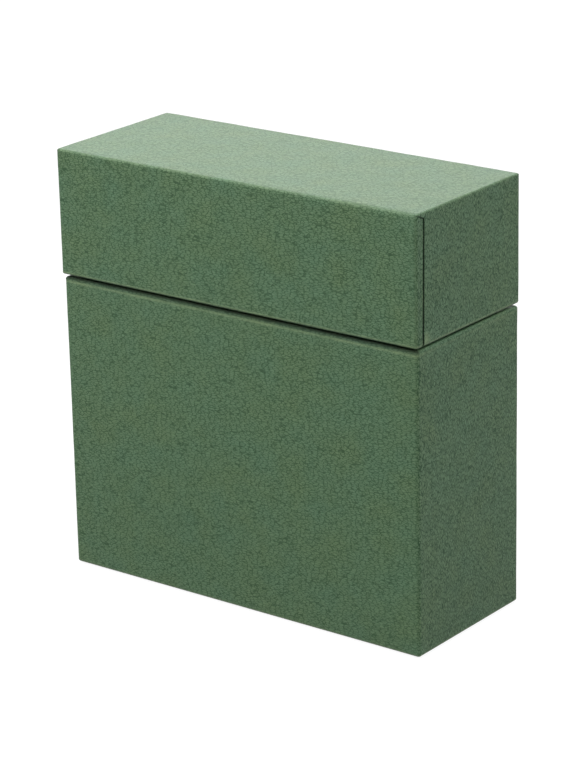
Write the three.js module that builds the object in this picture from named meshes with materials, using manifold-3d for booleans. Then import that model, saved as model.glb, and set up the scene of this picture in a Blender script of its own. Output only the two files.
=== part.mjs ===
// A jewellery drawer box that stands on end, in millimetres, +Z up.
// A board case wrapped in green leatherette holds an upright drawer. The drawer's hollow head
// is as broad as the case and closes it, and leaves a narrow reveal gap all the way round.
// The origin is the middle of the outline, on the surface that the box stands on.

import * as THREE from "three";
import { mergeVertices } from "three/addons/utils/BufferGeometryUtils.js";
import Module from "manifold-3d";

// The closed box.
const headWidth = 115;
const headDepth = 46;
const headHeight = 34.3;
const caseHeight = 82;
const revealGap = 0.7;
// The case stands back under the head, and the drawer leans to the left in its play.
const endInset = 0.4;
const faceInset = 0.3;
const drawerOffset = 0.3;

// Boards, sheets and the glue between them.
const greyboard = 2;
const trayboard = 1.5;
const leatherette = 0.4;
const suedePaper = 0.3;
const glue = 0.05;

// Roundings over the wrapped edges.
const cornerRadius = 1;
const headEdgeRadius = 0.7;
const rimRadius = 0.9;
const footRadius = 0.6;
const trayCornerRadius = 0.8;
const trayEdgeRadius = 0.4;
const padEdgeRadius = 0.5;

// Where the covering sheets end.
const caseTurnIn = 12;
const caseTurnUnder = 10;
const headTurnIn = 10;
const trayTurnIn = 8;
const baseSheetInset = 1.5;
const seamInset = 2.9;
const seamWidth = 0.45;
const seamDepth = 0.25;
const seamTopDrop = 1.8;
const seamFootRise = 0.6;

// The drawer's fit, and what it holds.
const slideClearance = 0.6;
const floorPad = 1.5;
const lipHeight = 16;
const compartmentHeight = 30;
const compartmentPad = 2;
const dividerSetback = 3;
const rollDepth = 16;
const rollBackRadius = 2;
const rollCount = 4;
const softGap = 0.3;

// Finer working values: a cut's overrun, the weld of equal points, and steps round a curve.
const overrun = 3;
const weld = 0.0001;
const cornerSteps = 6;
const edgeSteps = 4;
const rollSteps = 12;
const triangleCornerCount = 3;

const lowSides = ["left", "front", "bottom"];
const walls = ["left", "right", "front", "back"];
const allSides = [...walls, "bottom", "top"];

const wasm = await Module();
wasm.setup();

// Rooms: a room is the six faces of an upright space.

function roomOf(width, depth, bottom, top) {
  return {
    left: -width / 2,
    right: width / 2,
    front: -depth / 2,
    back: depth / 2,
    bottom,
    top,
  };
}

// The room with the named faces moved inwards. A negative amount moves them outwards.
function shrink(room, amount, sides = allSides) {
  const moved = { ...room };
  for (const side of sides) {
    moved[side] += lowSides.includes(side) ? amount : -amount;
  }
  return moved;
}

// The slice of a room that lies within a thickness of one face.
function slice(room, side, thickness) {
  const opposite = {
    left: "right",
    right: "left",
    front: "back",
    back: "front",
    bottom: "top",
    top: "bottom",
  }[side];
  const inwards = lowSides.includes(side) ? thickness : -thickness;
  return { ...room, [opposite]: room[side] + inwards };
}

// Solids.

function solidOf(geometry) {
  const bare = new THREE.BufferGeometry();
  const source = geometry.index ? geometry.toNonIndexed() : geometry;
  bare.setAttribute("position", source.getAttribute("position"));
  const merged = mergeVertices(bare, weld);
  const corners = merged.index.array;
  const kept = [];
  for (let at = 0; at < corners.length; at += triangleCornerCount) {
    const [a, b, c] = corners.slice(at, at + triangleCornerCount);
    if (a !== b && b !== c && c !== a) {
      kept.push(a, b, c);
    }
  }
  const places = merged.getAttribute("position");
  const mesh = new wasm.Mesh({
    numProp: places.itemSize,
    vertProperties: places.array,
    triVerts: new Uint32Array(kept),
  });
  return new wasm.Manifold(mesh);
}

function squareBlock(room) {
  const width = room.right - room.left;
  const depth = room.back - room.front;
  const height = room.top - room.bottom;
  const geometry = new THREE.BoxGeometry(width, depth, height);
  geometry.translate(
    room.left + width / 2,
    room.front + depth / 2,
    room.bottom + height / 2,
  );
  return solidOf(geometry);
}

// The heights and insets of the rings that round one end of a block.
function edgeRings(end, radius, inwards) {
  if (radius <= 0) {
    return [{ z: end, inset: 0 }];
  }
  const rings = [];
  for (let step = 0; step <= edgeSteps; step += 1) {
    const turn = (step / edgeSteps) * (Math.PI / 2);
    rings.push({
      z: end + inwards * radius * (1 - Math.cos(turn)),
      inset: radius * (1 - Math.sin(turn)),
    });
  }
  return rings;
}

// One level outline of a block: four corner arcs, counter-clockwise seen from above.
function ringPoints(room, corner, { z, inset }) {
  const radius = Math.max(corner - inset, 0);
  const middles = [
    [room.right - inset - radius, room.back - inset - radius],
    [room.left + inset + radius, room.back - inset - radius],
    [room.left + inset + radius, room.front + inset + radius],
    [room.right - inset - radius, room.front + inset + radius],
  ];
  const points = [];
  middles.forEach(([x, y], quarter) => {
    for (let step = 0; step <= cornerSteps; step += 1) {
      const turn = (quarter + step / cornerSteps) * (Math.PI / 2);
      points.push([x + radius * Math.cos(turn), y + radius * Math.sin(turn), z]);
    }
  });
  return points;
}

// A block with rounded upright corners, and rounded edges at its top and its bottom.
function roundedBlock(room, corner, topEdge, bottomEdge) {
  const rings = [
    ...edgeRings(room.bottom, bottomEdge, 1),
    ...edgeRings(room.top, topEdge, -1).reverse(),
  ].map((ring) => ringPoints(room, corner, ring));
  const positions = [];
  const face = (...points) => positions.push(...points.flat());
  for (let level = 1; level < rings.length; level += 1) {
    const low = rings[level - 1];
    const high = rings[level];
    low.forEach((point, at) => {
      const next = (at + 1) % low.length;
      face(point, low[next], high[next]);
      face(point, high[next], high[at]);
    });
  }
  const floor = rings[0];
  const roof = rings[rings.length - 1];
  for (let at = 2; at < floor.length; at += 1) {
    face(floor[0], floor[at], floor[at - 1]);
    face(roof[0], roof[at - 1], roof[at]);
  }
  const geometry = new THREE.BufferGeometry();
  geometry.setAttribute("position", new THREE.Float32BufferAttribute(positions, 3));
  return solidOf(geometry);
}

// A rounded block with all its roundings made tighter by the same amount as its faces.
function insetBlock(room, radii, amount) {
  const [corner, topEdge, bottomEdge] = radii.map((radius) => Math.max(radius - amount, 0));
  return roundedBlock(shrink(room, amount), corner, topEdge, bottomEdge);
}

// The sheet that covers an open board box inside and out, in one thickness.
function covering(outside, radii, hollow, mouth, thickness) {
  const skin = insetBlock(outside, radii, 0)
    .subtract(squareBlock(shrink(hollow, glue + thickness)))
    .subtract(squareBlock(shrink(mouth, glue + thickness)));
  const boards = insetBlock(outside, radii, thickness)
    .subtract(squareBlock(shrink(hollow, glue)))
    .subtract(squareBlock(shrink(mouth, glue)));
  return skin.subtract(boards);
}

// Materials.

function paperFinish(color, roughness) {
  return () => new THREE.MeshStandardMaterial({ color, roughness, metalness: 0 });
}

const greyboardFinish = paperFinish("#9a9184", 0.95);
const leatheretteFinish = paperFinish("#4c6449", 0.6);
const suedeFinish = paperFinish("#26352a", 0.95);
const paddingFinish = paperFinish("#b9ae97", 0.95);

function addPiece(group, name, solid, finish) {
  const { numProp, vertProperties, triVerts } = solid.getMesh();
  const geometry = new THREE.BufferGeometry();
  geometry.setAttribute("position", new THREE.BufferAttribute(vertProperties, numProp));
  geometry.setIndex(new THREE.BufferAttribute(triVerts, 1));
  const mesh = new THREE.Mesh(geometry, finish());
  mesh.name = name;
  group.add(mesh);
  return mesh;
}

// Boards are cut from one rounded block, so their outer corners follow the covering.
function addBoards(group, blank, rooms) {
  for (const [name, room] of Object.entries(rooms)) {
    addPiece(group, name, blank.intersect(squareBlock(room)), greyboardFinish);
  }
}

// The case: five boards, the leatherette round them, the sheet under it and its lining.

const caseWidth = headWidth - 2 * endInset;
const caseDepth = headDepth - 2 * faceInset;
const caseOutside = roomOf(caseWidth, caseDepth, leatherette + glue, caseHeight);
const caseRadii = [cornerRadius, rimRadius, footRadius];
const caseBoards = shrink(caseOutside, leatherette + glue);
const caseHollow = shrink(caseBoards, greyboard, [...walls, "bottom"]);
const caseMouth = shrink(caseHollow, -overrun, ["top"]);
const caseInside = shrink(caseHollow, glue + leatherette, [...walls, "bottom"]);

function addCaseBoards(group) {
  const blank = insetBlock(caseOutside, caseRadii, leatherette + glue);
  const sideRoom = shrink(caseBoards, greyboard + glue, ["front", "back"]);
  const floorRoom = shrink(caseBoards, greyboard + glue, walls);
  addBoards(group, blank, {
    case_front_board: slice(caseBoards, "front", greyboard),
    case_back_board: slice(caseBoards, "back", greyboard),
    case_left_board: slice(sideRoom, "left", greyboard),
    case_right_board: slice(sideRoom, "right", greyboard),
    case_floor_board: slice(floorRoom, "bottom", greyboard),
  });
}

function addCaseCovering(group) {
  const sheet = covering(caseOutside, caseRadii, caseHollow, caseMouth, leatherette);
  const turnInEnd = caseHeight - caseTurnIn;
  const lined = { ...shrink(caseHollow, 0), top: turnInEnd };
  const underside = slice(shrink(caseOutside, caseTurnUnder, walls), "bottom", leatherette + glue);
  const window = squareBlock(shrink(underside, -overrun, ["bottom"]));
  const wrap = sheet.subtract(squareBlock(lined)).subtract(window);
  addPiece(group, "case_wrap", wrap, leatheretteFinish);
  const lining = sheet.intersect(squareBlock(shrink(lined, glue, ["top"])));
  addPiece(group, "case_lining", lining, suedeFinish);
}

function addBaseSheet(group) {
  const room = roomOf(caseWidth, caseDepth, 0, leatherette);
  const sheet = roundedBlock(shrink(room, baseSheetInset, walls), cornerRadius, 0, 0);
  addPiece(group, "case_base_sheet", sheet, leatheretteFinish);
}

function addFloorPad(group) {
  const room = slice(shrink(caseInside, glue, ["bottom"]), "bottom", floorPad);
  const pad = roundedBlock(shrink(room, softGap, walls), padEdgeRadius, padEdgeRadius, 0);
  addPiece(group, "case_floor_pad", pad, suedeFinish);
}

function buildCase() {
  const group = new THREE.Group();
  addCaseBoards(group);
  addCaseCovering(group);
  addBaseSheet(group);
  addFloorPad(group);
  group.position.x = drawerOffset;
  return group;
}

// The drawer stands on the floor pad. Its heights are measured from its own foot.

const drawerFoot = caseInside.bottom + glue + floorPad + glue;
const headFoot = caseHeight + revealGap - drawerFoot;

// The head: a hollow board box with its wrap turned in at the foot, closed by a base board.

const headOutside = roomOf(headWidth, headDepth, headFoot, headFoot + headHeight);
const headRadii = [cornerRadius, headEdgeRadius, footRadius];
const headBoards = shrink(headOutside, leatherette + glue);
const headHollow = shrink(headBoards, greyboard, [...walls, "top"]);
const headMouth = shrink(headHollow, -overrun, ["bottom"]);
const headBase = shrink({ ...headHollow, bottom: headFoot }, leatherette + 2 * glue, walls);

function addHeadBoards(group) {
  const blank = insetBlock(headOutside, headRadii, leatherette + glue);
  const wallRoom = shrink(headBoards, greyboard + glue, ["top"]);
  const sideRoom = shrink(wallRoom, greyboard + glue, ["front", "back"]);
  const baseRoom = shrink(headBase, leatherette + glue, ["bottom"]);
  addBoards(group, blank, {
    head_top_board: slice(headBoards, "top", greyboard),
    head_front_board: slice(wallRoom, "front", greyboard),
    head_back_board: slice(wallRoom, "back", greyboard),
    head_left_board: slice(sideRoom, "left", greyboard),
    head_right_board: slice(sideRoom, "right", greyboard),
    head_base_board: slice(baseRoom, "bottom", greyboard),
  });
}

// The seam: the end flaps of the wrap are cut short of the corner and glued over the ears that
// the front and the back send round it. The cut runs up the end, then round the corner's top.
function seamGrooves() {
  const depthZone = insetBlock(headOutside, headRadii, 0)
    .subtract(insetBlock(headOutside, headRadii, seamDepth));
  const height = { bottom: headFoot + seamFootRise, top: headOutside.top - seamTopDrop };
  const grooves = [];
  for (const end of ["left", "right"]) {
    const endRoom = shrink(slice(headOutside, end, cornerRadius), -overrun, [end]);
    for (const face of ["front", "back"]) {
      const flapEdge = slice(endRoom, face, seamInset + seamWidth);
      const upright = shrink(flapEdge, seamInset, [face]);
      const round = shrink(flapEdge, -overrun, [face]);
      grooves.push({ ...upright, ...height });
      grooves.push(slice({ ...round, ...height }, "top", seamWidth));
    }
  }
  const cuts = grooves.map((groove) => squareBlock(groove));
  return depthZone.intersect(cuts.reduce((joined, cut) => joined.add(cut)));
}

function addHeadWrap(group) {
  const sheet = covering(headOutside, headRadii, headHollow, headMouth, leatherette);
  const unlined = { ...headHollow, bottom: headFoot + headTurnIn };
  const wrap = sheet.subtract(squareBlock(unlined)).subtract(seamGrooves());
  addPiece(group, "head_wrap", wrap, leatheretteFinish);
}

function addHeadBaseSheet(group) {
  const sheet = squareBlock(slice(headBase, "bottom", leatherette));
  addPiece(group, "head_base_sheet", sheet, leatheretteFinish);
}

// The tray: an open-fronted board box glued under the head, with a low lip across its foot.

const trayWidth = caseInside.right - caseInside.left - 2 * slideClearance;
const trayDepth = caseInside.back - caseInside.front - 2 * slideClearance;
const trayOutside = roomOf(trayWidth, trayDepth, 0, headFoot - glue);
const trayRadii = [trayCornerRadius, trayEdgeRadius, trayEdgeRadius];
const trayBoards = shrink(trayOutside, suedePaper + glue);
const trayHollow = shrink(trayBoards, trayboard);
const trayMouth = {
  ...shrink(trayHollow, -overrun, ["front"]),
  bottom: lipHeight - suedePaper - glue,
};
const trayInside = shrink(trayHollow, suedePaper + glue);

function addTrayBoards(group) {
  const blank = insetBlock(trayOutside, trayRadii, suedePaper + glue);
  const sideRoom = shrink(trayBoards, trayboard + glue, ["back"]);
  const endRoom = shrink(sideRoom, trayboard + glue, ["left", "right"]);
  const lipRoom = { ...shrink(endRoom, trayboard + glue, ["bottom"]), top: trayMouth.bottom };
  addBoards(group, blank, {
    tray_back_board: slice(trayBoards, "back", trayboard),
    tray_left_board: slice(sideRoom, "left", trayboard),
    tray_right_board: slice(sideRoom, "right", trayboard),
    tray_top_board: slice(endRoom, "top", trayboard),
    tray_foot_board: slice(endRoom, "bottom", trayboard),
    tray_lip_board: slice(lipRoom, "front", trayboard),
  });
}

function addTrayCovering(group) {
  const sheet = covering(trayOutside, trayRadii, trayHollow, trayMouth, suedePaper);
  const lined = { ...trayHollow, front: trayOutside.front + trayTurnIn };
  const wrap = sheet.subtract(squareBlock(lined));
  addPiece(group, "tray_wrap", wrap, suedeFinish);
  const lining = sheet.intersect(squareBlock(shrink(lined, glue, ["front"])));
  addPiece(group, "tray_lining", lining, suedeFinish);
}

// The divider is a covered board between the ring rolls and the compartment at the foot.

const dividerThickness = trayboard + 2 * (suedePaper + glue);
const compartment = slice(trayInside, "bottom", compartmentHeight);
const dividerOutside = {
  ...shrink(trayInside, glue, walls),
  front: trayOutside.front + dividerSetback,
  bottom: compartment.top,
  top: compartment.top + dividerThickness,
};

function addDivider(group) {
  const coveredSides = ["front", "bottom", "top"];
  const board = shrink(dividerOutside, suedePaper + glue, coveredSides);
  addPiece(group, "divider_board", squareBlock(board), greyboardFinish);
  const core = shrink(dividerOutside, suedePaper, coveredSides);
  const through = squareBlock(shrink(core, -overrun, ["left", "right", "back"]));
  const wrap = squareBlock(dividerOutside).subtract(through);
  addPiece(group, "divider_wrap", wrap, suedeFinish);
}

// The ring rolls are soft bars of foam in suede, stacked from the divider up.

const rollShelf = { ...trayInside, bottom: dividerOutside.top };
const rollRoom = shrink(rollShelf, softGap, ["left", "right", "back"]);
const rollPitch = (rollRoom.top - rollRoom.bottom) / rollCount;
const rollHeight = rollPitch - softGap;

function rollOutline() {
  const nose = rollHeight / 2;
  const back = Math.min(rollBackRadius, nose);
  const outline = new THREE.Shape();
  outline.absarc(rollDepth - nose, 0, nose, -Math.PI / 2, Math.PI / 2, false);
  outline.absarc(back, nose - back, back, Math.PI / 2, Math.PI, false);
  outline.absarc(back, back - nose, back, Math.PI, Math.PI * 1.5, false);
  return outline;
}

function addRingRolls(group) {
  const length = rollRoom.right - rollRoom.left;
  const shape = new THREE.ExtrudeGeometry(rollOutline(), {
    depth: length,
    bevelEnabled: false,
    curveSegments: rollSteps,
  });
  shape.rotateX(Math.PI / 2);
  shape.rotateZ(-Math.PI / 2);
  const roll = solidOf(shape);
  for (let row = 0; row < rollCount; row += 1) {
    const piece = addPiece(group, `ring_roll_${row + 1}`, roll, paddingFinish);
    piece.position.set(rollRoom.right, rollRoom.back, rollRoom.bottom + (row + 0.5) * rollPitch);
  }
}

function addCompartmentPad(group) {
  const room = slice(shrink(compartment, glue, ["bottom"]), "bottom", compartmentPad);
  const pad = roundedBlock(shrink(room, softGap, walls), padEdgeRadius, padEdgeRadius, 0);
  addPiece(group, "compartment_pad", pad, paddingFinish);
}

function buildDrawer() {
  const group = new THREE.Group();
  addHeadBoards(group);
  addHeadWrap(group);
  addHeadBaseSheet(group);
  addTrayBoards(group);
  addTrayCovering(group);
  addDivider(group);
  addRingRolls(group);
  addCompartmentPad(group);
  group.position.z = drawerFoot;
  return group;
}

const group = new THREE.Group();
group.add(buildCase(), buildDrawer());

export default group;
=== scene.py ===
import math

import bmesh
import bpy
import numpy as np
from mathutils import Matrix, Vector, noise


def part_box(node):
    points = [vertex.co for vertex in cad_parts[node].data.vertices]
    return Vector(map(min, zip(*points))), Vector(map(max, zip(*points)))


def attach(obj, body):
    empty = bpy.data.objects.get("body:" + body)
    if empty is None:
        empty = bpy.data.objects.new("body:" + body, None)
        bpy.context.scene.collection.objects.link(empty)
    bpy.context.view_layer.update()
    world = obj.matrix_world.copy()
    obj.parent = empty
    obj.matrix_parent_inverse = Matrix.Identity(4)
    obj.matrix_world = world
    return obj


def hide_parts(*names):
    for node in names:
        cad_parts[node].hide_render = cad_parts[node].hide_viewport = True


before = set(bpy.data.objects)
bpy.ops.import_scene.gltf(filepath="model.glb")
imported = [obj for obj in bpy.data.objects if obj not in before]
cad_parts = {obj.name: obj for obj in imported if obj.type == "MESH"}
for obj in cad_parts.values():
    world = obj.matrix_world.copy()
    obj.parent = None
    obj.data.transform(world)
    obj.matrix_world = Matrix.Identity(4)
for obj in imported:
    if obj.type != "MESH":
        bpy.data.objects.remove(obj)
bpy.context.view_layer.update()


# The boards of the case, the head and the tray. They are greyboard, pressed from waste paper, cut
# to size and glued edge to face. It is matt and grey-brown, with short fibres and dark specks.

mm = 0.001


def linear(hex_colour):
    """An sRGB colour such as "#9a9184" as linear red, green, blue and alpha."""
    channels = [int(hex_colour[at:at + 2], 16) / 255 for at in (1, 3, 5)]
    return tuple(
        c / 12.92 if c <= 0.04045 else ((c + 0.055) / 1.055) ** 2.4 for c in channels
    ) + (1.0,)


def new_finish(name):
    """An empty node material."""
    finish = bpy.data.materials.new(name)
    finish.use_nodes = True
    finish.node_tree.nodes.clear()
    return finish


def add_node(finish, kind, settings, inputs):
    """A node of this kind, with its settings, and with a link or a value for each input."""
    node = finish.node_tree.nodes.new("ShaderNode" + kind)
    for setting, value in settings.items():
        setattr(node, setting, value)
    for socket, value in inputs.items():
        if isinstance(value, bpy.types.NodeSocket):
            finish.node_tree.links.new(value, node.inputs[socket])
        else:
            node.inputs[socket].default_value = value
    return node


def millimetres(finish):
    """A place on the piece in millimetres, as textures read it: it moves with the piece."""
    place = add_node(finish, "TexCoord", {}, {})
    scaled = add_node(
        finish,
        "VectorMath",
        {"operation": "SCALE"},
        {"Vector": place.outputs["Object"], "Scale": 1 / mm},
    )
    return scaled.outputs[0]


def finish_surface(finish, colour, roughness, height, depth, shine):
    """Closes a material with its shader. height times depth in millimetres is its relief."""
    relief = add_node(
        finish, "Bump", {}, {"Height": height, "Distance": depth * mm, "Strength": 1.0}
    )
    surface = add_node(
        finish,
        "BsdfPrincipled",
        {},
        {"Base Color": colour, "Roughness": roughness, "Normal": relief.outputs[0], **shine},
    )
    add_node(finish, "OutputMaterial", {}, {"Surface": surface.outputs[0]})


greyboard = new_finish("greyboard_pressed_from_waste_paper")
place = millimetres(greyboard)
# Short fibres, in clumps of a few millimetres.
fibre_length = 0.4
clump_size = 6
fibres = add_node(
    greyboard,
    "TexNoise",
    {},
    {"Vector": place, "Scale": 1 / fibre_length, "Detail": 4.0, "Roughness": 0.7},
)
clumps = add_node(
    greyboard, "TexNoise", {}, {"Vector": place, "Scale": 1 / clump_size, "Detail": 2.0}
)
pulp = add_node(
    greyboard,
    "MixRGB",
    {},
    {"Fac": fibres.outputs[0], "Color1": linear("#827a6e"), "Color2": linear("#aba294")},
)
patchy = add_node(
    greyboard,
    "MixRGB",
    {"blend_type": "MULTIPLY"},
    {"Fac": clumps.outputs[0], "Color1": pulp.outputs[0], "Color2": linear("#dcd6cc")},
)
# Dark specks of old print, 0.4 mm across and about 3 mm apart.
speck_spacing = 3
specks = add_node(
    greyboard, "TexVoronoi", {}, {"Vector": place, "Scale": 1 / speck_spacing}
)
speck = add_node(
    greyboard,
    "MapRange",
    {},
    {
        "Value": specks.outputs["Distance"],
        "From Min": 0.05,
        "From Max": 0.09,
        "To Min": 0.6,
        "To Max": 0.0,
    },
)
board_colour = add_node(
    greyboard,
    "MixRGB",
    {},
    {"Fac": speck.outputs[0], "Color1": patchy.outputs[0], "Color2": linear("#4d483f")},
)
finish_surface(
    greyboard, board_colour.outputs[0], 0.93, fibres.outputs[0], 0.06, {"IOR": 1.45}
)

board_names = [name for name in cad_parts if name.endswith("_board")]
for name in board_names:
    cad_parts[name].material_slots[0].material = greyboard


# The sheet round the case: dark green leatherette, which is a paper or cloth back with an
# embossed polyurethane skin, 0.4 mm thick. One strip goes round the four walls, over the rim and
# 12 mm down inside, and 10 mm under the floor.

leatherette_thickness = 0.4
wall_thickness = 2.9
turn_in_end = 70.0
turn_under = 10.0
corner_radius = 1.0
rim_radius = 0.9
inner_rim_radius = 0.5
foot_radius = 0.6
weld_distance = 0.002
sliver = 0.001


def box_of(node):
    """The CAD node's box in millimetres: left, right, front, back, foot and top."""
    low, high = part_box(node)
    return tuple(value / mm for pair in zip(low, high) for value in pair)


def divide(length, reach, fine, coarse):
    """Shares of a side's length: fine steps within reach of both ends, and coarse between."""
    near = np.arange(0.0, reach - fine / 2, fine)
    count = max(1, round((length - 2 * reach) / coarse))
    middle = np.linspace(reach, length - reach, count + 1)
    return np.concatenate([near, middle, (length - near)[::-1]]) / length


def rounded_outline(faces, corner, along, across, steps):
    """A rectangle with rounded corners, anticlockwise from its right front corner. Each corner
    has this many steps, and the sides are divided at the shares along X and across on Y."""
    left, right, front, back = faces
    middles = [
        (right - corner, front + corner),
        (right - corner, back - corner),
        (left + corner, back - corner),
        (left + corner, front + corner),
    ]
    arcs = []
    for quarter, middle in enumerate(middles):
        turn = (quarter - 1 + np.linspace(0, 1, steps + 1)) * math.pi / 2
        arcs.append(np.array(middle) + corner * np.stack([np.cos(turn), np.sin(turn)], 1))
    points = []
    for quarter, arc in enumerate(arcs):
        shares = (along if quarter % 2 else across)[1:-1, None]
        onward = arcs[(quarter + 1) % 4][0]
        points += [arc, arc[-1] + (onward - arc[-1]) * shares]
    return np.concatenate(points)


def arc_rings(inset, height, radius, start, end, steps):
    """Rings round one edge of a box: how far in they lie, and how high, from angle to angle."""
    turns = np.radians(np.linspace(start, end, steps + 1))
    return [(inset - radius * math.cos(t), height + radius * math.sin(t)) for t in turns]


def loft_sheet(name, rings, along, across, steps, upright, capped):
    """A closed sheet through a chain of rings. Each ring is (faces, corner radius, height).
    Where it is capped, a grid closes its first and last ring, and else the last meets the first.
    upright sheets stand on Z, and the others lie with their rings one behind the other on Y."""
    points = []
    faces = []
    for outline_faces, corner, height in rings:
        flat = rounded_outline(outline_faces, corner, along, across, steps)
        level = np.full((len(flat), 1), height)
        points.append(np.concatenate([flat, level], 1))
    count = len(points[0])
    turn = np.arange(count)
    onward = (turn + 1) % count
    pairs = [(i, i + 1) for i in range(len(rings) - 1)]
    if not capped:
        pairs.append((len(rings) - 1, 0))
    for low, high in pairs:
        quads = [turn + low * count, onward + low * count, onward + high * count]
        faces.append(np.stack(quads + [turn + high * count], 1))
    if capped:
        for (left, right, front, back), _, height in (rings[0], rings[-1]):
            xs, ys = np.meshgrid(left + (right - left) * along, front + (back - front) * across)
            level = np.full(xs.size, height)
            first = sum(len(p) for p in points)
            points.append(np.stack([xs.ravel(), ys.ravel(), level], 1))
            at = np.arange(xs.size).reshape(xs.shape) + first
            grid = [at[:-1, :-1], at[:-1, 1:], at[1:, 1:], at[1:, :-1]]
            faces.append(np.stack([g.ravel() for g in grid], 1))
    places = np.concatenate(points) * mm
    if not upright:
        places = places[:, [0, 2, 1]]
    mesh = bpy.data.meshes.new(name)
    mesh.from_pydata(places, [], np.concatenate(faces).tolist())
    work = bmesh.new()
    work.from_mesh(mesh)
    bmesh.ops.remove_doubles(work, verts=work.verts, dist=weld_distance * mm)
    bmesh.ops.dissolve_degenerate(work, dist=sliver * mm, edges=work.edges)
    bmesh.ops.recalc_face_normals(work, faces=work.faces)
    work.to_mesh(mesh)
    work.free()
    return mesh


def push_points(mesh, push):
    """Moves each point along its own normal by push(x, y, z), all in millimetres."""
    moved = [v.co + v.normal * push(*(v.co / mm)) * mm for v in mesh.vertices]
    for vertex, place in zip(mesh.vertices, moved):
        vertex.co = place
    mesh.update()


def mark_points(mesh, name, mark):
    """Stores mark(x, y, z), from 0 to 1, at each point for a material to read."""
    values = [mark(*(v.co / mm)) for v in mesh.vertices]
    mesh.attributes.new(name, "FLOAT", "POINT").data.foreach_set("value", values)


def add_piece(name, mesh, finish, sharp_angle=40):
    """The mesh as a piece of this finish, smooth but for folds sharper than the angle."""
    mesh.materials.append(finish)
    mesh.shade_smooth()
    mesh.set_sharp_from_angle(angle=math.radians(sharp_angle))
    piece = bpy.data.objects.new(name, mesh)
    bpy.context.scene.collection.objects.link(piece)
    return piece


def ease(value, low, high):
    """0 below low, 1 above high, and smooth between."""
    share = min(max((value - low) / (high - low), 0.0), 1.0)
    return share * share * (3 - 2 * share)


def unevenness(x, y, z, size):
    """From -1 to 1: the slow rise and fall of a hand-glued sheet, with humps of this size."""
    return noise.noise(Vector((x, y, z)) / size)


# Leatherette: the skin is embossed with a fine, irregular crackle. Thin dark creases part its
# cells, which are 1.5 mm long and 0.5 mm high on the front and back, 1.5 by 1.2 mm on top, and
# 1.2 mm high and 0.5 mm long on the ends. Wandering folds and a faint, finer pebble lie over them.
# The sizes below are in millimetres before the stretch that each wall gives them.
cell_size = 0.7
fold_spacing = 0.8
pebble_size = 0.45
wander_size = 1.6
wander_reach = 0.6
mottle_size = 9
front_stretch = (0.48, 0.6, 1.3, 1.0)
end_stretch = (1.0, 1.3, 0.6, 1.0)
facing_squarely = 0.7
grain_fainter_on_top = -0.3
grain_deeper_on_ends = 0.35
grain_depth = 0.035

leatherette = new_finish("leatherette_with_crackle_grain")
place = millimetres(leatherette)
facing = add_node(leatherette, "TexCoord", {}, {})
facing_parts = add_node(leatherette, "SeparateXYZ", {}, {"Vector": facing.outputs["Normal"]})
end_facing = add_node(
    leatherette, "Math", {"operation": "ABSOLUTE"}, {0: facing_parts.outputs["X"]}
)
on_end = add_node(
    leatherette,
    "Math",
    {"operation": "GREATER_THAN"},
    {0: end_facing.outputs[0], 1: facing_squarely},
)
stretch = add_node(
    leatherette,
    "MixRGB",
    {},
    {"Fac": on_end.outputs[0], "Color1": front_stretch, "Color2": end_stretch},
)
stretched = add_node(
    leatherette, "VectorMath", {"operation": "MULTIPLY"}, {0: place, 1: stretch.outputs[0]}
)
# The pattern is bent by a slow noise, so that no crease runs straight.
drift = add_node(
    leatherette,
    "TexNoise",
    {},
    {"Vector": stretched.outputs[0], "Scale": 1 / wander_size, "Detail": 2.0},
)
offset = add_node(
    leatherette,
    "VectorMath",
    {"operation": "SUBTRACT"},
    {0: drift.outputs["Color"], 1: (0.5, 0.5, 0.5)},
)
bent = add_node(
    leatherette,
    "VectorMath",
    {"operation": "MULTIPLY_ADD"},
    {0: offset.outputs[0], 1: (wander_reach,) * 3, 2: stretched.outputs[0]},
)
# A fold runs wherever this noise crosses its middle.
folds = add_node(
    leatherette,
    "TexNoise",
    {},
    {"Vector": bent.outputs[0], "Scale": 1 / fold_spacing, "Detail": 1.0},
)
off_fold = add_node(
    leatherette, "Math", {"operation": "SUBTRACT"}, {0: folds.outputs[0], 1: 0.5}
)
from_fold = add_node(
    leatherette, "Math", {"operation": "ABSOLUTE"}, {0: off_fold.outputs[0]}
)
wandering = add_node(
    leatherette,
    "MapRange",
    {"interpolation_type": "SMOOTHSTEP"},
    {"Value": from_fold.outputs[0], "From Max": 0.045, "To Min": 0.54, "To Max": 0.0},
)
cells = add_node(
    leatherette,
    "TexVoronoi",
    {"feature": "DISTANCE_TO_EDGE"},
    {"Vector": bent.outputs[0], "Scale": 1 / cell_size},
)
cell_edges = add_node(
    leatherette,
    "MapRange",
    {"interpolation_type": "SMOOTHSTEP"},
    {"Value": cells.outputs["Distance"], "From Max": 0.17, "To Min": 0.8, "To Max": 0.0},
)
all_creases = add_node(
    leatherette,
    "Math",
    {"operation": "MAXIMUM"},
    {0: wandering.outputs[0], 1: cell_edges.outputs[0]},
)
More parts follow.
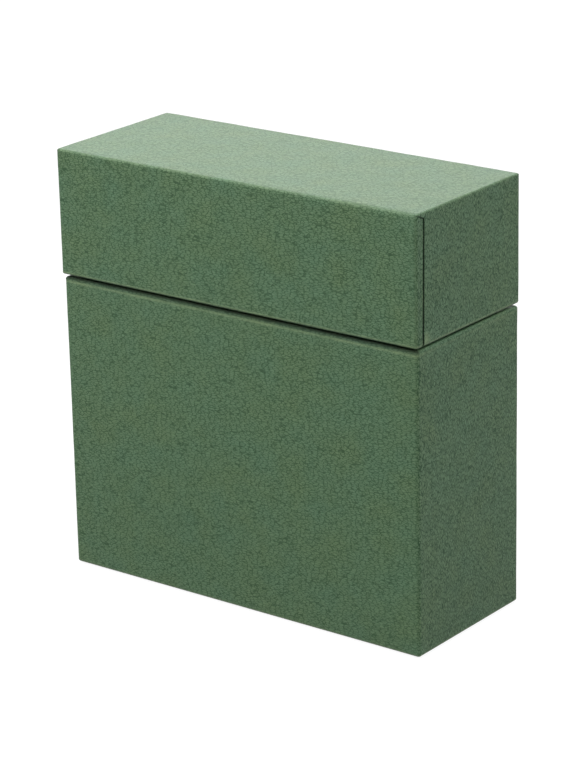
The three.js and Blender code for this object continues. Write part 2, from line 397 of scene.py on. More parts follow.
# The grain is drawn fainter on top and deeper on the ends.
on_top = add_node(
    leatherette,
    "Math",
    {"operation": "GREATER_THAN"},
    {0: facing_parts.outputs["Z"], 1: facing_squarely},
)
top_share = add_node(
    leatherette,
    "Math",
    {"operation": "MULTIPLY_ADD"},
    {0: on_top.outputs[0], 1: grain_fainter_on_top, 2: 1.0},
)
grain_share = add_node(
    leatherette,
    "Math",
    {"operation": "MULTIPLY_ADD"},
    {0: on_end.outputs[0], 1: grain_deeper_on_ends, 2: top_share.outputs[0]},
)
creases = add_node(
    leatherette,
    "Math",
    {"operation": "MULTIPLY"},
    {0: all_creases.outputs[0], 1: grain_share.outputs[0]},
)
pebble = add_node(
    leatherette,
    "TexNoise",
    {},
    {"Vector": bent.outputs[0], "Scale": 1 / pebble_size, "Detail": 1.0, "Roughness": 0.6},
)
pebble_rise = add_node(
    leatherette,
    "MapRange",
    {},
    {"Value": pebble.outputs[0], "From Min": 0.35, "From Max": 0.65, "To Max": 0.15},
)
pebble_light = add_node(
    leatherette,
    "Math",
    {"operation": "MULTIPLY"},
    {0: pebble_rise.outputs[0], 1: grain_share.outputs[0]},
)
# The green drifts towards blue and towards olive in patches.
mottle = add_node(
    leatherette, "TexNoise", {}, {"Vector": place, "Scale": 1 / mottle_size, "Detail": 3.0}
)
tint = add_node(
    leatherette,
    "MapRange",
    {},
    {"Value": mottle.outputs[0], "From Min": 0.3, "From Max": 0.7},
)
green = add_node(
    leatherette,
    "MixRGB",
    {},
    {"Fac": tint.outputs[0], "Color1": linear("#536f55"), "Color2": linear("#586f4f")},
)
pebbled = add_node(
    leatherette,
    "MixRGB",
    {},
    {"Fac": pebble_light.outputs[0], "Color1": green.outputs[0], "Color2": linear("#7c9477")},
)
shaded = add_node(
    leatherette,
    "MixRGB",
    {},
    {"Fac": creases.outputs[0], "Color1": pebbled.outputs[0], "Color2": linear("#1e3d24")},
)
# Edges and folds are lighter, from wear and a painted highlight. The cut seam is dark from glue
# and painted shadow, and the seam mark also holds painted shade on the front rim under the head.
wear_and_painted_highlight = add_node(leatherette, "Attribute", {"attribute_name": "wear_and_painted_highlight"}, {})
rubbed_and_highlit = add_node(
    leatherette,
    "MixRGB",
    {},
    {"Fac": wear_and_painted_highlight.outputs["Fac"], "Color1": shaded.outputs[0], "Color2": linear("#7d8f6b")},
)
seam = add_node(leatherette, "Attribute", {"attribute_name": "seam"}, {})
leatherette_colour = add_node(
    leatherette,
    "MixRGB",
    {},
    {"Fac": seam.outputs["Fac"], "Color1": rubbed_and_highlit.outputs[0], "Color2": linear("#070c08")},
)
leatherette_height = add_node(
    leatherette,
    "Math",
    {"operation": "MULTIPLY_ADD"},
    {0: all_creases.outputs[0], 1: -1.0, 2: pebble.outputs[0]},
)
leatherette_roughness = add_node(
    leatherette,
    "MapRange",
    {},
    {"Value": seam.outputs["Fac"], "To Min": 0.46, "To Max": 1.0},
)
finish_surface(
    leatherette,
    leatherette_colour.outputs[0],
    leatherette_roughness.outputs[0],
    leatherette_height.outputs[0],
    grain_depth,
    {"IOR": 1.25},
)

case_box = box_of("case_wrap")
case_foot, case_rim = case_box[4:]


def inset_ring(box, inset, height):
    """One ring of a sheet round a box, this far in from its outside."""
    left, right, front, back = box[:4]
    faces = (left + inset, right - inset, front + inset, back - inset)
    return faces, max(corner_radius - inset, 0.0), height


def case_chain(amount):
    """The rings up the outside of the case and down inside its rim, at this depth in the sheet."""
    low = case_foot + foot_radius
    high = case_rim - rim_radius
    middle = wall_thickness - inner_rim_radius
    inner_high = case_rim - inner_rim_radius
    rise = divide(high - low, reach=3.0, fine=0.3, coarse=2.0)[1:-1]
    down = np.linspace(case_rim - 0.8, turn_in_end, 6)
    return [
        (turn_under, case_foot + amount),
        *arc_rings(foot_radius, low, foot_radius - amount, start=-90, end=0, steps=8),
        *[(amount, low + (high - low) * share) for share in rise],
        *arc_rings(rim_radius, high, rim_radius - amount, start=0, end=90, steps=12),
        *arc_rings(middle, inner_high, inner_rim_radius - amount, start=90, end=180, steps=6),
        *[(wall_thickness - amount, height) for height in down],
    ]


def size_of(box):
    """How far a box reaches along X and along Y."""
    return box[1] - box[0], box[3] - box[2]


case_width, case_depth = size_of(case_box)
case_rings = case_chain(0.0) + case_chain(leatherette_thickness)[::-1]
case_sheet = loft_sheet(
    "case_leatherette",
    [inset_ring(case_box, inset, height) for inset, height in case_rings],
    along=divide(case_width - 2 * corner_radius, reach=1.0, fine=0.5, coarse=2.0),
    across=divide(case_depth - 2 * corner_radius, reach=1.0, fine=0.5, coarse=2.0),
    steps=10,
    upright=True,
    capped=False,
)


def depth_in(box, x, y):
    """How far a place lies inside the nearest wall of a box."""
    return min(x - box[0], box[1] - x, y - box[2], box[3] - y)


outer_skin = 0.3


def humps(x, y, z):
    """The sheet lies a few hundredths of a millimetre uneven on its boards."""
    return 0.04 * unevenness(x, y, z, size=9.0) + 0.03 * unevenness(x, y, z, size=3.5)


def case_push(x, y, z):
    """Humps on the outside of the sheet alone, all of them within the CAD sheet."""
    if depth_in(case_box, x, y) > outer_skin:
        return 0.0
    return humps(x, y, z) - 0.06


def band(value, start, full, fade, end):
    """0 below start and above end, 1 from full to fade, and smooth between."""
    return ease(value, start, full) * (1 - ease(value, fade, end))


def in_patches(x, y, z):
    """From 0.25 to 1.25: the wear and the painted highlight come and go in patches of 2 mm."""
    return 0.75 + 0.5 * unevenness(x, y, z, size=2.0)


def case_wear_and_highlight(x, y, z):
    """Lighter in a narrow line where the sheet bends over the rim, from wear and a painted
    highlight that is stronger on the front, and lighter from wear along the foot.
    """
    rim = band(z, case_rim - 1.7, case_rim - 1.2, case_rim - 1.0, case_rim - 0.7)
    foot = 1 - ease(z, case_foot + 0.3, case_foot + 1.1)
    on_front = y < case_box[2] + corner_radius
    rim_wear_and_highlight = 0.55 if on_front else 0.2
    foot_wear = 0.3
    return max(rim_wear_and_highlight * rim, foot_wear * foot) * in_patches(x, y, z)


def case_painted_shade(x, y, z):
    """Painted shade on the front rim just under the head, where the head's foot shadows it."""
    if y > case_box[2] + 1.2:
        return 0.0
    darkest = 0.75
    starts = case_rim - 1.05
    height = 0.8
    return darkest * min(max((z - starts) / height, 0.0), 1.0)


# The lighter lines are wear and painted highlight, and the darkened front rim is painted shade.
mark_points(case_sheet, "wear_and_painted_highlight", case_wear_and_highlight)
mark_points(case_sheet, "seam", case_painted_shade)
push_points(case_sheet, case_push)
case_leatherette = add_piece("case_leatherette", case_sheet, leatherette)
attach(case_leatherette, "case")
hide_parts("case_wrap")


# The lining of the case: dark green suede paper, 0.4 mm, glued to the boards from the turned-in
# leatherette down and over the floor. It is the CAD sheet with its nap added.

suede_paper = new_finish("suede_paper_dark_green")
place = millimetres(suede_paper)
# The flock is finer than the picture shows, so it is drawn as tufts of 0.35 mm.
flock_size = 0.35
brushed_size = 7
flock = add_node(
    suede_paper,
    "TexNoise",
    {},
    {"Vector": place, "Scale": 1 / flock_size, "Detail": 3.0, "Roughness": 0.7},
)
brushed = add_node(
    suede_paper, "TexNoise", {}, {"Vector": place, "Scale": 1 / brushed_size, "Detail": 3.0}
)
nap = add_node(
    suede_paper,
    "MapRange",
    {},
    {"Value": flock.outputs[0], "From Min": 0.3, "From Max": 0.7, "To Min": 0.7, "To Max": 1.3},
)
brushed_green = add_node(
    suede_paper,
    "MixRGB",
    {},
    {"Fac": brushed.outputs[0], "Color1": linear("#1f2e24"), "Color2": linear("#2f4034")},
)
suede_paper_colour = add_node(
    suede_paper,
    "VectorMath",
    {"operation": "SCALE"},
    {"Vector": brushed_green.outputs[0], "Scale": nap.outputs[0]},
)
finish_surface(
    suede_paper,
    suede_paper_colour.outputs[0],
    0.95,
    flock.outputs[0],
    0.05,
    {"IOR": 1.45, "Sheen Weight": 0.35, "Sheen Roughness": 0.4,
     "Sheen Tint": linear("#8fa590")},
)
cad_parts["case_lining"].material_slots[0].material = suede_paper


# The sheet under the case: a cut rectangle of the same leatherette, glued over the turned edges.
# The box stands on it.

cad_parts["case_base_sheet"].material_slots[0].material = leatherette


# The pad on the case's floor: a 1.5 mm sheet of foam under dark green suede paper, tucked down at
# its edges and glued. The drawer comes to rest on it.

soft_edge = 0.6
flat_inset = 1.4
smooth_all_over = 180


def crowned_pad(name, node, finish, sink):
    """A thin pad: flat below, with rolled edges, and sunk towards them by this much on top."""
    box = box_of(node)
    left, right, front, back, foot, top = box
    middle_x = (left + right) / 2
    middle_y = (front + back) / 2
    half_x = (right - left) / 2
    half_y = (back - front) / 2
    radius = min(soft_edge, (top - foot - sink) / 2)
    rings = [
        (flat_inset, foot),
        *arc_rings(radius, foot + radius, radius, start=-90, end=0, steps=6),
        *arc_rings(radius, top - radius, radius, start=0, end=90, steps=6),
        (flat_inset, top),
    ]
    mesh = loft_sheet(
        name,
        [inset_ring(box, inset, height) for inset, height in rings],
        along=divide(2 * half_x - 2 * corner_radius, reach=3.0, fine=0.5, coarse=1.2),
        across=divide(2 * half_y - 2 * corner_radius, reach=3.0, fine=0.5, coarse=1.2),
        steps=8,
        upright=True,
        capped=True,
    )
    for vertex in mesh.vertices:
        x, y, z = vertex.co / mm
        high = (z - foot) / (top - foot)
        # The powers keep the pad's middle level and drop it only near its edges.
        crown = (1 - abs((x - middle_x) / half_x) ** 6) * (1 - abs((y - middle_y) / half_y) ** 4)
        slack = 0.08 * (1 + unevenness(x, y, z, size=11.0))
        sag = sink * (1 - crown) + slack
        vertex.co.z -= high * min(sag, top - foot) * mm
    mesh.update()
    return add_piece(name, mesh, finish, smooth_all_over)


floor_pad = crowned_pad("case_floor_cushion", "case_floor_pad", suede_paper, sink=0.35)
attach(floor_pad, "case")
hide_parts("case_floor_pad")


# The sheet over the head: the same leatherette, over the top and the four walls in one piece, and
# 10 mm up inside. The back's part goes on round both ends, over the ears that the front sends
# round its corners, and is cut 3 mm short of them. The cut edge shows as a thin dark seam, which
# climbs to the corner at its top in a mitred fold. The seam is darkened with glue and painted
# shadow, and the fold with painted shade.

head_box = box_of("head_wrap")
head_foot, head_top = head_box[4:]
head_edge_radius = 0.7
head_turn_in_end = 92.7
seam_inset = 2.92
seam_lean = 0.015
seam_base = 85.0
seam_top = 115.3
corner_fold_top = 116.8
corner_fold_run = 3.37
past_any_seam = 99.0
groove_depth = 0.36
ear_dip = 0.05
fold_depth = 0.08


def head_chain(amount, fine, coarse):
    """The rings from the top down the outside of the head, and up inside its foot."""
    low = head_foot + foot_radius
    high = head_top - head_edge_radius
    middle = wall_thickness - inner_rim_radius
    inner_low = head_foot + inner_rim_radius
    fall = 1 - divide(high - low, reach=2.4, fine=fine, coarse=coarse)[1:-1]
    up = np.linspace(head_foot + 0.8, head_turn_in_end, 6)
    return [
        (1.2, head_top - amount),
        *arc_rings(head_edge_radius, high, head_edge_radius - amount, start=90, end=0, steps=8),
        *[(amount, low + (high - low) * share) for share in fall],
        *arc_rings(foot_radius, low, foot_radius - amount, start=0, end=-90, steps=8),
        *arc_rings(middle, inner_low, inner_rim_radius - amount, start=-90, end=-180, steps=6),
        *[(wall_thickness - amount, height) for height in up],
    ]


head_width, head_depth = size_of(head_box)
outer_rings = head_chain(0.0, fine=0.12, coarse=1.0)
inner_rings = head_chain(leatherette_thickness, fine=0.6, coarse=6.0)
head_sheet = loft_sheet(
    "head_leatherette",
    [inset_ring(head_box, inset, height) for inset, height in outer_rings + inner_rings[::-1]],
    along=divide(head_width - 2 * corner_radius, reach=1.6, fine=0.4, coarse=2.0),
    across=divide(head_depth - 2 * corner_radius, reach=3.2, fine=0.12, coarse=2.0),
    steps=10,
    upright=True,
    capped=True,
)


def from_end(x):
    """How far in from the nearer end of the head."""
    return min(x - head_box[0], head_box[1] - x)


def seam_distance(x, y, z):
    """On an end wall, how far this place lies past the seam, away from the front corner."""
    if from_end(x) > outer_skin or z > seam_top:
        return past_any_seam
    waver = 0.07 * unevenness(x, y, z, size=2.5)
    return y - head_box[2] - seam_inset - seam_lean * (z - seam_base) - waver


def fold_distance(x, y, z):
    """How far this place lies from the mitred fold between the seam's top and the corner."""
    if from_end(x) > 1.2:
        return past_any_seam
    run = corner_fold_run
    climb = corner_fold_top - seam_top
    behind = y - head_box[2]
    above = z - seam_top
    share = ((run - behind) * run + above * climb) / (run ** 2 + climb ** 2)
    share = min(max(share, 0), 1)
    return math.hypot(behind - run * (1 - share), above - climb * share)


def head_push(x, y, z):
    """The sheet's humps, its seams, and a front edge that softens towards the right."""
    if min(depth_in(head_box, x, y), head_top - z) > outer_skin:
        return 0.0
    push = humps(x, y, z) - 0.07
    past = seam_distance(x, y, z)
    groove = 1 - ease(abs(past), 0.2, 0.42)
    ear = (1 - ease(past, -0.15, 0.15)) * ease(y - head_box[2], 0, 1)
    fold = math.exp(-((fold_distance(x, y, z) / 0.15) ** 2))
    edge = math.exp(-((y - head_box[2]) ** 2 + (head_top - z) ** 2))
    push -= groove_depth * groove
    push -= ear_dip * ear
    push -= fold_depth * fold
    return push - edge * (0.03 + 0.22 * ease(x, -10, 52))


def head_wear_and_highlight(x, y, z):
    """Lighter along the foot, the top edges and the corners, from wear and a painted highlight,
    and lighter from wear beside the seam's foot.
    """
    foot = band(z, head_foot + 0.1, head_foot + 0.4, head_foot + 0.6, head_foot + 1)
    from_face = min(y - head_box[2], head_box[3] - y)
    from_edge = sorted([from_end(x), from_face, head_top - z])[1]
    wear_and_painted_highlight = max(0.5 * foot, 0.12 * (1 - ease(from_edge, 0.2, 1.0)))
    beside_seam = 0.5 < seam_distance(x, y, z) < 2.3
    if beside_seam and 0.9 < z - head_foot < 3.2 and x > 0 and y < 0:
        wear_and_painted_highlight = max(wear_and_painted_highlight, 0.6)
    return wear_and_painted_highlight * in_patches(x, y, z)


def head_seam_and_painted_shade(x, y, z):
    """Dark in the cut, from glue and painted shadow, and a fainter painted shade in the fold above
    it.
    """
    cut = 1 - ease(abs(seam_distance(x, y, z)), 0.3, 0.48)
    fold = 1 - ease(fold_distance(x, y, z), 0.08, 0.3)
    near_seam = ease(y - head_box[2], 0.3, 2.6)
    return max(cut, (0.3 + 0.6 * near_seam) * fold)


# The lighter foot and edges are wear and painted highlight, and the seam and fold hold glue and
# painted shade.
mark_points(head_sheet, "wear_and_painted_highlight", head_wear_and_highlight)
mark_points(head_sheet, "seam", head_seam_and_painted_shade)
push_points(head_sheet, head_push)
head_leatherette = add_piece("head_leatherette", head_sheet, leatherette)
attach(head_leatherette, "drawer")
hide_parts("head_wrap")


# The sheet under the head: a rectangle of leatherette on the base board, between the turned-in
# edges. It shows when the drawer is up.

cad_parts["head_base_sheet"].material_slots[0].material = leatherette


# The sheet round the tray: dark green suede paper, 0.3 mm. It wraps the back and the four sides,
# turns over the front edges and the low lip, and runs 8 mm in.

tray_box = box_of("tray_wrap")
lining_box = box_of("tray_lining")
tray_left, tray_right, tray_front, tray_back, tray_foot, tray_top = tray_box
tray_wall = 2.2
paper_thickness = 0.3
tray_edge_radius = 0.4
tray_corner_radius = 0.8
lip_top = 20.95
glue_gap = 0.05


def tray_ring(inset, y, foot, corner):
    """One ring of the tray's sheet, with its foot side at its own height."""
    faces = (tray_left + inset, tray_right - inset, foot, tray_top - inset)
    return faces, corner, y


def tray_chain(amount):
    """The rings from the back to the front edges, over them and the lip, and 8 mm in."""
    radius = tray_edge_radius - amount
    # The flat back, and the edge round it.
    chain = [tray_ring(1.0, tray_back - amount, tray_foot + 1.0, 0.0)]
    for inset, rise in arc_rings(tray_edge_radius, 0.0, radius, start=90, end=0, steps=5):
        y = tray_back - tray_edge_radius + rise
        chain.append(tray_ring(inset, y, tray_foot + inset, max(tray_corner_radius - inset, 0)))
    # The four sides, and the edge at their front.
    corner = tray_corner_radius - amount
    for y in np.linspace(tray_back - 1.0, tray_front + 1.0, 16):
        chain.append(tray_ring(amount, y, tray_foot + amount, corner))
    for inset, fall in arc_rings(tray_edge_radius, 0.0, radius, start=0, end=90, steps=5):
        y = tray_front + tray_edge_radius - fall
        chain.append(tray_ring(inset, y, tray_foot + inset, max(tray_corner_radius - inset, 0)))
    # Across the front edges and up the face of the lip, and over to the inside.
    low = tray_foot + tray_edge_radius
    rounding = tray_wall - tray_edge_radius
    for share in np.linspace(0.1, 0.9, 9):
        inset = tray_edge_radius + (rounding - tray_edge_radius) * share
        foot = low + (lip_top - tray_edge_radius - low) * share
        corner = (tray_corner_radius - tray_edge_radius) * (1 - share)
        chain.append(tray_ring(inset, tray_front + amount, foot, corner))
    for inset, fall in arc_rings(rounding, 0.0, radius, start=90, end=180, steps=5):
        y = tray_front + tray_edge_radius - fall
        foot = lip_top - tray_wall + inset
        chain.append(tray_ring(inset, y, foot, 0.0))
    # Down the back of the lip, which leans a little, and along to the lining.
    inner = tray_wall - amount
    lip_back = tray_front + tray_wall
    lip_height = lip_top - amount
    lip_bend = 0.2
    lip_slant = 0.1
    chain.append(tray_ring(inner, lip_back - 0.6, lip_height, 0.0))
    floor_height = tray_foot + tray_wall - amount
    for share in np.linspace(0, 1, 8):
        foot = lip_height - lip_bend + (floor_height - lip_height + lip_bend) * share
        y = lip_back - amount - lip_slant * (1 - share)
        chain.append(tray_ring(inner, y, foot, 0.0))
    chain.append(tray_ring(inner, lining_box[2] - glue_gap, floor_height, 0.0))
    return chain


tray_sheet = loft_sheet(
    "tray_suede_paper",
    tray_chain(0.0) + tray_chain(paper_thickness)[::-1],
    along=divide(tray_right - tray_left - 2 * tray_corner_radius, reach=1.2, fine=0.3, coarse=3.0),
    across=divide(tray_top - tray_foot - 2 * tray_corner_radius, reach=1.2, fine=0.3, coarse=3.0),
    steps=6,
    upright=False,
    capped=True,
)
tray_suede_paper = add_piece("tray_suede_paper", tray_sheet, suede_paper)
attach(tray_suede_paper, "drawer")
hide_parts("tray_wrap")


# The lining of the tray: suede paper on the inside of its walls, butted against the turned-in
# sheet. It is the CAD sheet.

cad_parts["tray_lining"].material_slots[0].material = suede_paper


# The sheet round the divider: suede paper folded once over the front edge of its board and glued
# above and below.

divider_box = box_of("divider_wrap")


def loft_sections(name, sections):
    """A closed form through sections one behind the other on X. Each is (x, points in Y and Z)."""
    points = []
    faces = []
    count = len(sections[0][1])
    for x, outline in sections:
        points += [(x * mm, y * mm, z * mm) for y, z in outline]
    for at in range(len(sections) - 1):
        for turn in range(count):
            onward = (turn + 1) % count
            low = at * count
            high = low + count
            faces.append((low + turn, low + onward, high + onward, high + turn))
    faces.append(tuple(range(count)))
    faces.append(tuple(range(len(points) - count, len(points))))
    mesh = bpy.data.meshes.new(name)
    mesh.from_pydata(points, [], faces)
    work = bmesh.new()
    work.from_mesh(mesh)
    bmesh.ops.recalc_face_normals(work, faces=work.faces)
    work.to_mesh(mesh)
    work.free()
    return mesh


def arc_points(middle_y, middle_z, radius, start, end, count):
    """Points on an arc seen from the side, from angle to angle."""
    turns = np.radians(np.linspace(start, end, count))
    return [(middle_y + radius * math.cos(t), middle_z + radius * math.sin(t)) for t in turns]


def folded_edge():
    """The folded sheet's section: out along its upper face, round the front edge and back."""
    _, _, front, back, foot, top = divider_box
    radius = 0.6
    skins = []
    for amount in (0.0, paper_thickness):
        bend = radius - amount
        skins.append([
            (back, top - amount),
            *arc_points(front + radius, top - radius, bend, start=90, end=180, count=7),
            *arc_points(front + radius, foot + radius, bend, start=180, end=270, count=7),
            (back, foot + amount),
        ])
    outside, inside = skins
    return outside + inside[::-1]


divider_span = np.linspace(divider_box[0], divider_box[1], 40)
divider_sheet = loft_sections(
    "divider_suede_paper", [(x, folded_edge()) for x in divider_span]
)
divider_suede_paper = add_piece("divider_suede_paper", divider_sheet, suede_paper)
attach(divider_suede_paper, "drawer")
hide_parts("divider_wrap")


# The ring rolls: four bars of soft foam, each wrapped in beige suede cloth that is drawn in at
# the ends. They are glued to the tray's back one above the other, and rings are pushed between.

suede_cloth = new_finish("suede_cloth_beige")
place = millimetres(suede_cloth)
# The nap's fibres are too fine to show, so they are drawn as tufts of 0.4 mm.
tuft_size = 0.4
stroke_size = 5
tufts = add_node(
    suede_cloth,
    "TexNoise",
    {},
    {"Vector": place, "Scale": 1 / tuft_size, "Detail": 4.0, "Roughness": 0.65},
)
stroked = add_node(
    suede_cloth, "TexNoise", {}, {"Vector": place, "Scale": 1 / stroke_size, "Detail": 3.0}
)
stroke_tone = add_node(
    suede_cloth,
    "MapRange",
    {},
    {"Value": stroked.outputs[0], "From Min": 0.35, "From Max": 0.65},
)
beige = add_node(
    suede_cloth,
    "MixRGB",
    {},
    {"Fac": stroke_tone.outputs[0], "Color1": linear("#ab9f87"), "Color2": linear("#c3b89f")},
)
cloth_nap = add_node(
    suede_cloth,
    "MapRange",
    {},
    {"Value": tufts.outputs[0], "From Min": 0.3, "From Max": 0.7, "To Min": 0.85, "To Max": 1.15},
)
suede_cloth_colour = add_node(
    suede_cloth,
    "VectorMath",
    {"operation": "SCALE"},
    {"Vector": beige.outputs[0], "Scale": cloth_nap.outputs[0]},
)
finish_surface(
    suede_cloth,
    suede_cloth_colour.outputs[0],
    0.95,
    tufts.outputs[0],
    0.07,
    {"IOR": 1.45, "Sheen Weight": 0.4, "Sheen Roughness": 0.4, "Sheen Tint": linear("#efe6d2")},
)

model_scale = 20.0
cloth_steps = 20
no_length = 1e-9


def swell(piece, pressure, most):
    """Blows the piece up like a stuffed cushion, and keeps each move within most millimetres.
    Cloth behaves best at furniture size, so a copy 20 times as large is simulated."""
    mesh = piece.data
    rest = np.array([tuple(v.co) for v in mesh.vertices])
    large = mesh.copy()
    for vertex in large.vertices:
        vertex.co = vertex.co * model_scale
    bag = bpy.data.objects.new("swelling", large)
    bpy.context.scene.collection.objects.link(bag)
    cloth = bag.modifiers.new("cloth", "CLOTH")
    cloth.settings.quality = 6
    cloth.settings.mass = 0.3
    cloth.settings.tension_stiffness = 12
    cloth.settings.compression_stiffness = 12
    cloth.settings.bending_stiffness = 0.4
    cloth.settings.use_pressure = True
    cloth.settings.uniform_pressure_force = pressure
    cloth.settings.effector_weights.gravity = 0
    for step in range(1, cloth_steps + 1):
        bpy.context.scene.frame_set(step)
    shaped = bag.evaluated_get(bpy.context.evaluated_depsgraph_get()).data
    moved = np.array([tuple(v.co) for v in shaped.vertices]) / model_scale - rest
    length = np.linalg.norm(moved, axis=1, keepdims=True)
    moved *= np.minimum(1.0, most * mm / np.maximum(length, no_length))
    bpy.data.objects.remove(bag)
    bpy.data.meshes.remove(large)
    bpy.context.scene.frame_set(1)
    for vertex, place in zip(mesh.vertices, rest + moved):
        vertex.co = place
    mesh.update()


round_end = 2.0
room_to_swell = 0.35
back_corner = 2.0
least_corner = 0.3


def roll_section(box, inset):
    """Across the roll: a round nose to the front, and a flat back with small corners."""
    _, _, front, back, foot, top = box
    nose = (top - foot) / 2
    middle = (foot + top) / 2
    corner = max(back_corner - inset, least_corner)
    corner_y = back - inset - corner
    behind_nose = [front + nose + step for step in (1.5, 3.0, 4.5, 6.0, 7.5)]
    return [
        *arc_points(front + nose, middle, nose - inset, start=90, end=270, count=17),
        *[(y, foot + inset) for y in behind_nose],
        *arc_points(corner_y, foot + inset + corner, corner, start=270, end=360, count=4),
        (back - inset, middle - 1.2),
        (back - inset, middle + 1.2),
        *arc_points(corner_y, top - inset - corner, corner, start=0, end=90, count=4),
        *[(y, top - inset) for y in behind_nose[::-1]],
    ]


def ring_roll(name, node):
    """One roll: swollen between its ends, with the cloth drawn in over them."""
    box = box_of(node)
    left, right, front, back, foot, top = box
    ends = round_end * (1 - np.cos(np.radians(np.linspace(10, 90, 6))))
    span = np.linspace(round_end, right - left - round_end, 66)[1:-1]
    places = np.concatenate([ends, span, right - left - ends[::-1]])
    sections = []
    for along in places:
        near = min(along, right - left - along)
        inset = room_to_swell
        if near < round_end:
            inset += round_end - math.sqrt(round_end ** 2 - (round_end - near) ** 2)
        sections.append((left + along, roll_section(box, inset)))
    # Smaller and smaller rings close each end.
    middle = np.array([(front + back) / 2, (foot + top) / 2])
    closed = []
    for share in (0.15, 0.45, 0.75):
        closed.append(middle + (np.array(sections[0][1]) - middle) * share)
    sections = (
        [(left, outline) for outline in closed] + sections
        + [(right, outline) for outline in closed[::-1]]
    )
    mesh = loft_sections(name, sections)
    piece = add_piece(name, mesh, suede_cloth, smooth_all_over)
    swell(piece, pressure=4.0, most=0.6)
    # Soft dents, and then each point is held inside the room that the roll has in the CAD.
    for vertex in mesh.vertices:
        x, y, z = vertex.co / mm
        dent = 0.16 * unevenness(x, y, z, size=8.0) - 0.1
        vertex.co += vertex.normal * dent * mm
        for axis in range(3):
            least, greatest = box[2 * axis] * mm, box[2 * axis + 1] * mm
            vertex.co[axis] = min(max(vertex.co[axis], least), greatest)
    mesh.update()
    smoother = piece.modifiers.new("smoother", "SUBSURF")
    smoother.levels = 1
    smoother.render_levels = 1
    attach(piece, "drawer")
    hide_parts(node)


for row in range(1, 5):
    ring_roll(f"ring_roll_cushion_{row}", f"ring_roll_{row}")


# The pad in the compartment at the tray's foot: 2 mm of foam under the same beige suede cloth,
# with its edges tucked under.

foot_pad = crowned_pad("compartment_cushion", "compartment_pad", suede_cloth, sink=0.5)
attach(foot_pad, "drawer")
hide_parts("compartment_pad")


# The studio: a pale floor under soft light from above, a white surround, and a camera with a long
# lens where the photograph was taken from, a little above the box and to its right.

plain_white = (1.0, 1.0, 1.0, 1.0)


def seen_in_picture(finish):
    """1 on rays that the picture shows, straight or by gloss or glass, and 0 on lighting rays."""
    rays = add_node(finish, "LightPath", {}, {})
    straight_or_gloss = add_node(
        finish,
        "Math",
        {"operation": "MAXIMUM"},
        {0: rays.outputs["Is Camera Ray"], 1: rays.outputs["Is Glossy Ray"]},
    )
    shown = add_node(
        finish,
        "Math",
        {"operation": "MAXIMUM"},
        {0: straight_or_gloss.outputs[0], 1: rays.outputs["Is Transmission Ray"]},
    )
    return shown.outputs[0]


surround = bpy.data.worlds.new("studio")
bpy.context.scene.world = surround
surround.use_nodes = True
surround.node_tree.nodes.clear()
ambient = add_node(surround, "Background", {}, {"Color": plain_white, "Strength": 0.05})
white = add_node(surround, "Background", {}, {"Color": plain_white, "Strength": 1.0})
sky = add_node(
    surround,
    "MixShader",
    {},
    {0: seen_in_picture(surround), 1: ambient.outputs[0], 2: white.outputs[0]},
)
add_node(surround, "OutputWorld", {}, {"Surface": sky.outputs[0]})

paper = new_finish("floor_paper")
# To the lamps the sheet is a mid grey. In the picture it glows white and takes a faint shadow.
matt = add_node(paper, "BsdfDiffuse", {}, {"Color": (0.45, 0.45, 0.45, 1.0)})
faint = add_node(paper, "BsdfDiffuse", {}, {"Color": (0.16, 0.16, 0.16, 1.0)})
# Far from the box, where the lamps fade, its own white takes over up to the horizon.
place_on_floor = add_node(paper, "TexCoord", {}, {})
way_out = add_node(
    paper, "VectorMath", {"operation": "LENGTH"}, {0: place_on_floor.outputs["Object"]}
)
own_white = add_node(
    paper,
    "MapRange",
    {"interpolation_type": "SMOOTHSTEP"},
    {"Value": way_out.outputs["Value"], "From Min": 0.35, "From Max": 1.3, "To Min": 0.88},
)
glow = add_node(
    paper, "Emission", {}, {"Color": plain_white, "Strength": own_white.outputs[0]}
)
bright = add_node(paper, "AddShader", {}, {0: faint.outputs[0], 1: glow.outputs[0]})
floor_surface = add_node(
    paper,
    "MixShader",
    {},
    {0: seen_in_picture(paper), 1: matt.outputs[0], 2: bright.outputs[0]},
)
add_node(paper, "OutputMaterial", {}, {"Surface": floor_surface.outputs[0]})
floor_sheet = bpy.data.meshes.new("floor")
reach = 4.0
floor_sheet.from_pydata(
    [(-reach, -reach, 0.0), (reach, -reach, 0.0), (reach, reach, 0.0), (-reach, reach, 0.0)],
    [],
    [(0, 1, 2, 3)],
)
floor_sheet.materials.append(paper)
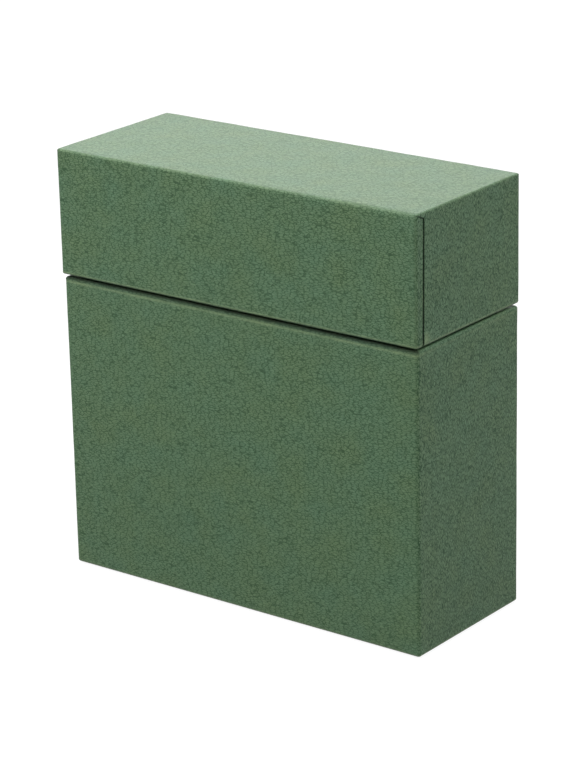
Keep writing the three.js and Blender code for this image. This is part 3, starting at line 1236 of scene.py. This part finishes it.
floor = bpy.data.objects.new("floor", floor_sheet)
bpy.context.scene.collection.objects.link(floor)

# One large softbox hangs over the box. Smaller ones stand at its left front, its right back, its
# left back and its right front. Each has its place and side in metres, and its power in watts.
middle_of_box = Vector((0.0, 0.0, 0.06))
lamps = [
    ("overhead_softbox", (-0.05, -0.1, 1.2), 1.8, 8.1),
    ("left_softbox", (-0.24, -0.24, 0.45), 0.4, 2.83),
    ("right_softbox", (0.5, 0.5, 0.65), 0.5, 3.4),
    ("back_softbox", (-0.6, 0.75, 0.45), 0.8, 3.3),
    ("front_softbox", (0.5, -0.38, 0.65), 0.5, 3.64),
]
for name, place, size, power in lamps:
    lamp = bpy.data.lights.new(name, "AREA")
    lamp.shape = "SQUARE"
    lamp.size = size
    lamp.energy = power
    lamp_object = bpy.data.objects.new(name, lamp)
    lamp_object.location = place
    aim = middle_of_box - lamp_object.location
    lamp_object.rotation_euler = aim.to_track_quat("-Z", "Y").to_euler()
    bpy.context.scene.collection.objects.link(lamp_object)

# The camera is turned by its azimuth from the front, its elevation and a slight roll.
camera_place = (0.469481, -0.610725, 0.325119)
camera_azimuth = math.radians(37.5552)
camera_elevation = math.radians(19.2482)
camera_roll = math.radians(-1.2541)
away = Vector(
    (
        math.sin(camera_azimuth) * math.cos(camera_elevation),
        -math.cos(camera_azimuth) * math.cos(camera_elevation),
        math.sin(camera_elevation),
    )
)
level = (-away).cross(Vector((0, 0, 1))).normalized()
upward = level.cross(-away)
turned_right = level * math.cos(camera_roll) + upward * math.sin(camera_roll)
turned_up = upward * math.cos(camera_roll) - level * math.sin(camera_roll)
lens = bpy.data.cameras.new("camera")
lens.lens = 145.389
lens.sensor_width = 36.0
lens.clip_end = 50.0
camera = bpy.data.objects.new("camera", lens)
camera_turn = Matrix((turned_right, turned_up, away)).transposed().to_4x4()
camera.matrix_world = Matrix.Translation(camera_place) @ camera_turn
bpy.context.scene.collection.objects.link(camera)
bpy.context.scene.camera = camera
bpy.context.scene.view_settings.view_transform = "Standard"
